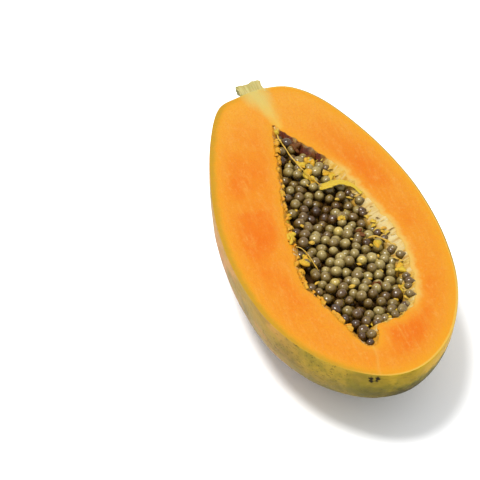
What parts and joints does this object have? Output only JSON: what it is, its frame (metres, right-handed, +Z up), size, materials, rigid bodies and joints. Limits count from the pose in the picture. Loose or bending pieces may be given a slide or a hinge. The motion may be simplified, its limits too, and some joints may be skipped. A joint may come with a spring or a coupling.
{
  "type": "halved papaya",
  "caption": "Ripe papaya cut in half along its length, with dark seeds in its open cavity, lying on its skin with the cut face up.",
  "frame": {"origin": "middle of the bounding box's underside, on the surface that the half rests on", "axes": "+Y along the fruit towards the stalk, +Z up out of the cut face, +X to the right seen from above with the stalk away from the viewer"},
  "size_m": [0.0898, 0.184, 0.0442],
  "materials": {
    "flesh_and_skin": "moist ripe flesh, orange and slightly glossy, inside a smooth yellow-green skin with darker freckles",
    "membrane": "soft fibrous yellow membrane, moist",
    "seeds": "dark olive-grey to brown seeds in glossy clear skins",
    "stem": "pale yellow-green fibrous stalk, dry and matt"
  },
  "bodies": {
    "root": {"papaya_half": "flesh_and_skin", "seed_membrane": "membrane", "seeds": "seeds", "stem_stub": "stem"}
  },
  "joints": []
}
